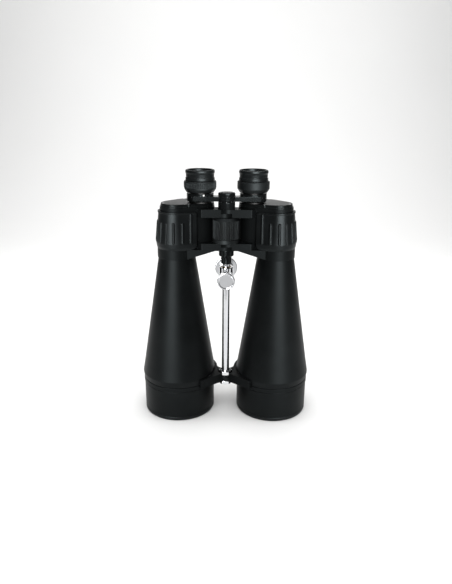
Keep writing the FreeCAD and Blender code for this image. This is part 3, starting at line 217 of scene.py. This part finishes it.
def prism_glass():
    """Polished glass with fine-ground edges."""
    m = Mat("prism_glass", IOR=1.57, Transmission_Weight=1.0)
    soft, edge = m.rounded(0.0005)
    m.link(m.mix(edge, rgb(0.93, 0.97, 0.95), rgb(0.75, 0.78, 0.77)), "Base Color")
    m.link(m.add(m.ramp(m.noise(300.0, 3.0), 0.3, 0.8, 0.01, 0.04), edge, 0.4), "Roughness")
    m.bump(m.noise(1500.0), 0.00002, 0.1, soft)
    return m.mat


def white_fill():
    """Paint in an engraved mark, a little worn."""
    m = Mat("mark_paint", Specular_IOR_Level=0.3)
    m.link(m.mix(m.ramp(m.noise(900.0, 4.0), 0.5, 0.75), rgb(0.62, 0.62, 0.60), rgb(0.34)), "Base Color")
    m.link(m.ramp(m.noise(1400.0, 2.0), 0.3, 0.7, 0.45, 0.65), "Roughness")
    m.bump(m.noise(2600.0, 2.0), 0.00004, 0.3)
    return m.mat


MATERIALS = {
    "body_paint": paint(
        "body_paint", dark=0.0026, light=0.0042, rough=0.43, grain=1500.0,
        edge_wear_and_highlight_grey=0.010, bevel=0.0005, specular=0.10, relief=0.20,
    ),
    "bell_paint": paint(
        "bell_paint", dark=0.0024, light=0.0040, rough=0.42, grain=1700.0,
        edge_wear_and_highlight_grey=0.010, bevel=0.0005, specular=0.09, relief=0.18,
    ),
    "cover_paint": paint(
        "cover_paint", dark=0.0030, light=0.0048, rough=0.30, grain=2100.0,
        edge_wear_and_highlight_grey=0.022, bevel=0.0006, specular=0.14, relief=0.16,
    ),
    "arm_gloss": paint(
        "arm_gloss", dark=0.0028, light=0.0042, rough=0.20, grain=2600.0,
        edge_wear_and_highlight_grey=0.022, bevel=0.0004, specular=0.22, relief=0.04,
    ),
    "arm_satin": paint(
        "arm_satin", dark=0.0032, light=0.0050, rough=0.46, grain=2200.0,
        edge_wear_and_highlight_grey=0.022, bevel=0.0005, specular=0.24, relief=0.10,
    ),
    "rubber": rubber(),
    "chrome": metal("chrome", rgb(0.80, 0.81, 0.83), rgb(0.70, 0.71, 0.73), 0.07, (1.0, 1.0, 60.0)),
    "steel": metal("steel", rgb(0.56, 0.56, 0.57), rgb(0.42, 0.42, 0.43), 0.25, (1.0, 1.0, 90.0), 0.3),
    "black_aluminium": metal("black_aluminium", rgb(0.030), rgb(0.045), 0.38, (1.0, 1.0, 40.0), 0.2),
    "brass": metal("brass", rgb(0.72, 0.53, 0.26), rgb(0.50, 0.36, 0.18), 0.28, (1.0, 1.0, 60.0), 0.2),
    "coated_glass": coated_glass(),
    "prism_glass": prism_glass(),
}
for node in NODES.values():
    slot = node.data.materials[0].name
    node.data.materials[0] = MATERIALS[slot.split(".")[0]]
for name in ("left_eyepiece_body", "right_dioptre_ring", "focus_wheel"):
    NODES[name].data.materials[0] = MATERIALS["arm_satin"]


# ---- small marks on the adjustable eyepiece -------------------------------------------------------
def mark(name, body, x, y, radius, low, high, middle, width):
    """Thin filled mark wrapped on an upright cylinder; middle and width are radians, from -Y towards +X."""
    mesh = bmesh.new()
    rings = []
    for step in range(MARK_STEPS + 1):
        angle = middle + width * (step / MARK_STEPS - 0.5)
        out = Vector((math.sin(angle), -math.cos(angle), 0))
        ring = []
        for height in (low, high):
            for reach in (radius - MARK_SINK, radius + MARK_STAND):
                ring.append(mesh.verts.new(Vector((x, y, height)) + out * reach))
        rings.append(ring)
    for a, b in zip(rings, rings[1:]):
        for i, j in ((0, 1), (1, 3), (3, 2), (2, 0)):
            mesh.faces.new((a[i], a[j], b[j], b[i]))
    mesh.faces.new((rings[0][0], rings[0][2], rings[0][3], rings[0][1]))
    mesh.faces.new((rings[-1][0], rings[-1][1], rings[-1][3], rings[-1][2]))
    bmesh.ops.recalc_face_normals(mesh, faces=mesh.faces)
    data = bpy.data.meshes.new(name)
    mesh.to_mesh(data)
    mesh.free()
    made = bpy.data.objects.new(name, data)
    bpy.context.scene.collection.objects.link(made)
    data.materials.append(MARK_PAINT)
    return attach(made, body)


MARK_PAINT = white_fill()
arm_low, arm_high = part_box("right_eyepiece_tube")
eye_x = (arm_low.x + arm_high.x) / 2
eye_y = (arm_low.y + arm_high.y) / 2
neck_top = arm_high.z
mark(
    "dioptre_index_mark", "right_arm", eye_x, eye_y, NECK_RADIUS,
    low=neck_top - 0.0022, high=neck_top - 0.0003, middle=0.30, width=0.10,
)


# ---- studio ---------------------------------------------------------------------------------------
def floor():
    """Pale floor that curves up behind the object."""
    mesh = bmesh.new()
    profile = [(FLOOR_FRONT, 0.0), (FLOOR_BEND, 0.0)]
    for step in range(1, FLOOR_STEPS + 1):
        angle = math.pi / 2 * step / FLOOR_STEPS
        profile.append((FLOOR_BEND + FLOOR_BEND * math.sin(angle), FLOOR_BEND - FLOOR_BEND * math.cos(angle)))
    sides = (-FLOOR_HALF_WIDTH, FLOOR_HALF_WIDTH)
    rows = [[mesh.verts.new((x, y, z)) for x in sides] for y, z in profile]
    for a, b in zip(rows, rows[1:]):
        mesh.faces.new((a[0], a[1], b[1], b[0]))
    data = bpy.data.meshes.new("floor")
    mesh.to_mesh(data)
    mesh.free()
    for face in data.polygons:
        face.use_smooth = True
    made = bpy.data.objects.new("floor", data)
    bpy.context.scene.collection.objects.link(made)
    m = Mat("floor_paper", Specular_IOR_Level=0.1)
    m.link(m.mix(m.noise(3.0, 4.0), rgb(0.86, 0.86, 0.855), rgb(0.89, 0.89, 0.885)), "Base Color")
    m.link(m.ramp(m.noise(30.0, 3.0), 0.3, 0.7, 0.75, 0.9), "Roughness")
    data.materials.append(m.mat)


def softbox(name, place, aim, width, height, watts, lit=()):
    """Rectangular area light pointed at a place on the object; lit limits it to those pieces."""
    data = bpy.data.lights.new(name, "AREA")
    data.shape = "RECTANGLE"
    data.size = width
    data.size_y = height
    data.energy = watts
    lamp = bpy.data.objects.new(name, data)
    lamp.location = place
    lamp.rotation_euler = (Vector(aim) - Vector(place)).to_track_quat("-Z", "Y").to_euler()
    bpy.context.scene.collection.objects.link(lamp)
    if lit:
        group = bpy.data.collections.new(name + "_lit")
        for piece in lit:
            group.objects.link(piece)
        lamp.light_linking.receiver_collection = group


def world(strength):
    """Dim room round the studio, with a plain white surround where the paper ends."""
    made = bpy.data.worlds.new("studio")
    made.use_nodes = True
    tree = made.node_tree
    room = tree.nodes["Background"]
    room.inputs["Color"].default_value = (1.0, 1.0, 1.0, 1.0)
    room.inputs["Strength"].default_value = strength
    surround = tree.nodes.new("ShaderNodeBackground")
    surround.inputs["Color"].default_value = (0.98, 0.98, 0.98, 1.0)
    rays = tree.nodes.new("ShaderNodeLightPath")
    both = tree.nodes.new("ShaderNodeMixShader")
    tree.links.new(rays.outputs["Is Camera Ray"], both.inputs["Fac"])
    tree.links.new(room.outputs["Background"], both.inputs[1])
    tree.links.new(surround.outputs["Background"], both.inputs[2])
    tree.links.new(both.outputs["Shader"], tree.nodes["World Output"].inputs["Surface"])
    bpy.context.scene.world = made


def camera():
    """Camera in front, a little above, as in the product view."""
    data = bpy.data.cameras.new("camera")
    data.lens = CAMERA_LENS
    data.sensor_width = 36.0
    data.clip_start = 0.01
    made = bpy.data.objects.new("camera", data)
    tilt = Matrix.Rotation(math.radians(CAMERA_TILT), 4, "X")
    roll = Matrix.Rotation(math.radians(CAMERA_ROLL), 4, "Z")
    made.matrix_world = Matrix.Translation(CAMERA_PLACE) @ tilt @ roll
    bpy.context.scene.collection.objects.link(made)
    bpy.context.scene.camera = made


floor()
PIECES = [o for o in bpy.context.scene.objects if o.type == "MESH" and o.name != "floor"]
EYE_WORDS = ("eye", "ocular", "dioptre", "bridge_cap", "hinge_cap")
SHINY = [NODES[n] for n in ("lock_knob", "rod", "rod_nuts", "tripod_carriage", "tripod_foot")]
AT_EYES = [o for o in PIECES if any(word in o.name for word in EYE_WORDS)]
MIDDLE = [o for o in PIECES if not o.name.startswith(("left_", "right_")) and o not in AT_EYES]
ON_RIGHT = [o for o in PIECES if o.name.startswith("right_") and o not in AT_EYES]
ON_LEFT = [o for o in PIECES if o.name.startswith("left_") and o not in AT_EYES]
PAPER = [bpy.data.objects["floor"]]
world(0.02)
softbox(
    "top", place=(0.0, 0.45, 1.5), aim=(0.0, 0.35, 0.0),
    width=1.3, height=1.3, watts=16.0,
)
softbox(
    "on_paper_front", place=(0.0, -0.75, 1.5), aim=(0.0, 0.15, 0.0),
    width=1.6, height=1.0, watts=18.0, lit=PAPER,
)
softbox(
    "on_paper_back", place=(0.0, 0.1, 1.3), aim=(0.0, 1.5, 0.5),
    width=2.0, height=1.0, watts=18.0, lit=PAPER,
)
softbox(
    "side_of_right_half", place=(-0.50, -1.10, 0.42), aim=(-0.06, 0.0, 0.16),
    width=0.70, height=1.0, watts=26.0, lit=ON_RIGHT,
)
softbox(
    "front_of_middle", place=(-0.30, -1.15, 0.46), aim=(0.0, 0.0, 0.20),
    width=0.50, height=0.9, watts=30.0, lit=MIDDLE,
)
softbox(
    "side_of_left_half", place=(0.50, -1.10, 0.42), aim=(0.06, 0.0, 0.16),
    width=0.70, height=1.0, watts=28.0, lit=ON_LEFT,
)
softbox(
    "front_of_eyes", place=(0.30, -1.10, 0.62), aim=(0.0, 0.0, 0.29),
    width=0.9, height=0.8, watts=44.0, lit=AT_EYES,
)
softbox(
    "low_front", place=(0.0, -0.66, 0.03), aim=(0.0, -0.04, 0.19),
    width=0.7, height=0.22, watts=0.30, lit=SHINY,
)
camera()
view = bpy.context.scene.view_settings
view.view_transform = "Standard"
view.look = "None"
